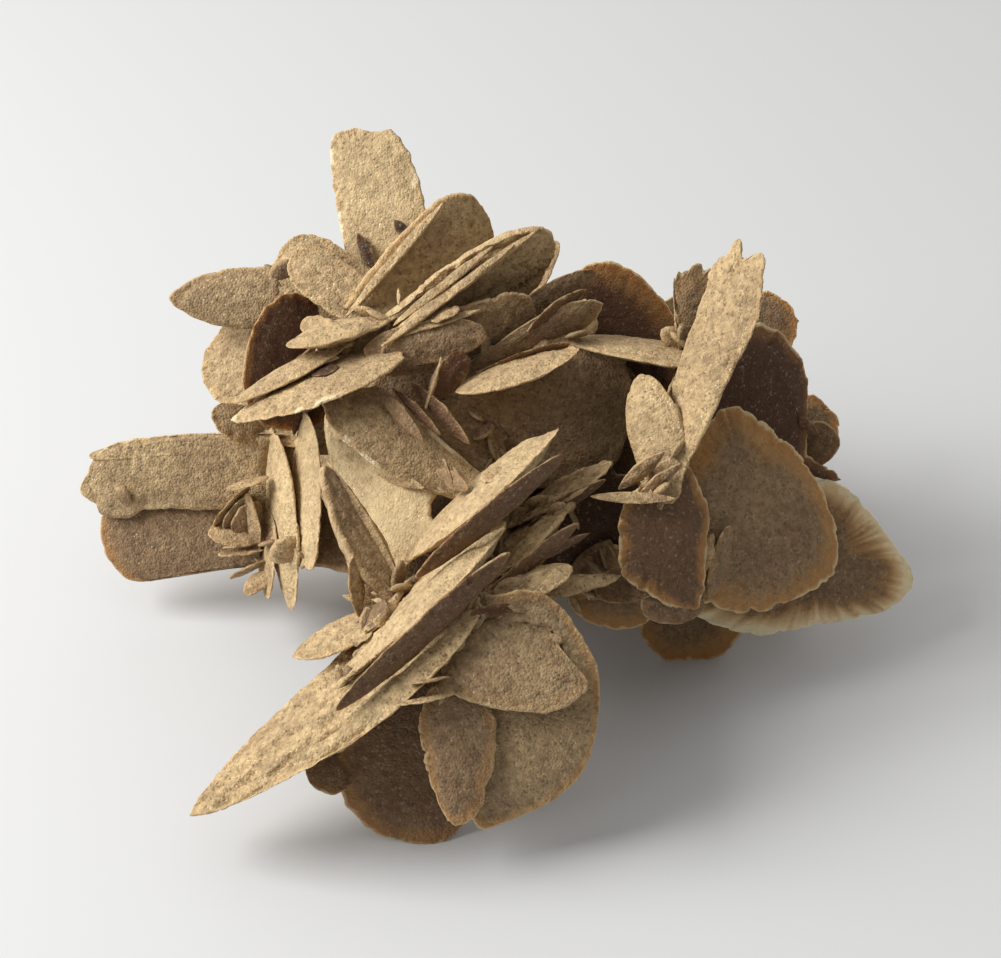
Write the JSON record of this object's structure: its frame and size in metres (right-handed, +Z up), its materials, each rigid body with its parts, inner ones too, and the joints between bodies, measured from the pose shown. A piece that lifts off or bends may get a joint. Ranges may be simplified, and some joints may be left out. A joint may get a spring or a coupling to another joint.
{
  "type": "gypsum sand rose",
  "caption": "Rosette of sand-bearing, lens-shaped gypsum crystals that grew through one another, lying on the worn tips of its lowest blades.",
  "frame": {"origin": "middle of the rose's bounding box, at the level it rests on", "axes": "+X along the longest side, to the right as seen from the front, +Y to the back, +Z up"},
  "size_m": [0.1588, 0.122, 0.0798],
  "materials": {
    "sandy_gypsum": "matt, sandy, with small sparkling crystal faces",
    "amber_gypsum": "matt, with a translucent amber rim"
  },
  "bodies": {
    "root": {"left_strip_inner": "sandy_gypsum", "left_strip_middle": "sandy_gypsum", "left_strip_outer": "sandy_gypsum", "heart_blade_level": "sandy_gypsum", "heart_blade_upright": "sandy_gypsum", "heart_blade_cross": "sandy_gypsum", "upper_spear": "sandy_gypsum", "main_spear": "sandy_gypsum", "long_spear": "sandy_gypsum", "front_small_petal": "sandy_gypsum", "front_large_petal": "amber_gypsum", "front_middle_lobe": "sandy_gypsum", "front_left_petal": "amber_gypsum", "stacked_spear": "sandy_gypsum", "shaded_spear": "sandy_gypsum", "rear_spear": "sandy_gypsum", "brown_lens": "sandy_gypsum", "pointed_lens": "sandy_gypsum", "hanging_plate": "sandy_gypsum", "v_blade_right": "sandy_gypsum", "v_blade_left": "sandy_gypsum", "pale_plate": "sandy_gypsum", "leaning_lens": "sandy_gypsum", "tall_strip_blade": "sandy_gypsum", "shelf_lens": "sandy_gypsum", "shelf_lens_far": "sandy_gypsum", "centre_shield": "sandy_gypsum", "centre_left_plate": "sandy_gypsum", "shadow_disc": "sandy_gypsum", "middle_right_petal": "amber_gypsum", "right_petal_inner": "amber_gypsum", "right_petal_outer": "amber_gypsum", "dark_right_blade": "amber_gypsum", "lower_right_petal": "amber_gypsum", "lower_middle_petal": "amber_gypsum", "rear_rim_blade_top": "amber_gypsum", "rear_rim_blade_mid": "amber_gypsum", "dome_blade": "amber_gypsum", "rear_cap_blade": "sandy_gypsum", "sandy_shelf": "sandy_gypsum", "sandy_shelf_upper": "sandy_gypsum", "scalloped_blade": "sandy_gypsum", "ridge_blade": "sandy_gypsum", "ridged_rim_blade": "sandy_gypsum", "round_petal": "sandy_gypsum", "upper_fan_blade": "sandy_gypsum", "tall_back_blade": "sandy_gypsum", "shade_blade_upper": "sandy_gypsum", "shade_blade_lower": "sandy_gypsum", "round_petal_rear": "sandy_gypsum", "left_wing_blade": "sandy_gypsum", "left_under_wing": "sandy_gypsum", "dark_crescent": "sandy_gypsum", "left_plate_upper": "sandy_gypsum", "left_plate_lower": "amber_gypsum", "back_foot_blade": "sandy_gypsum", "back_fan_left": "sandy_gypsum", "back_fan_right": "sandy_gypsum", "back_low_left": "sandy_gypsum", "back_low_right": "sandy_gypsum"}
  },
  "joints": []
}
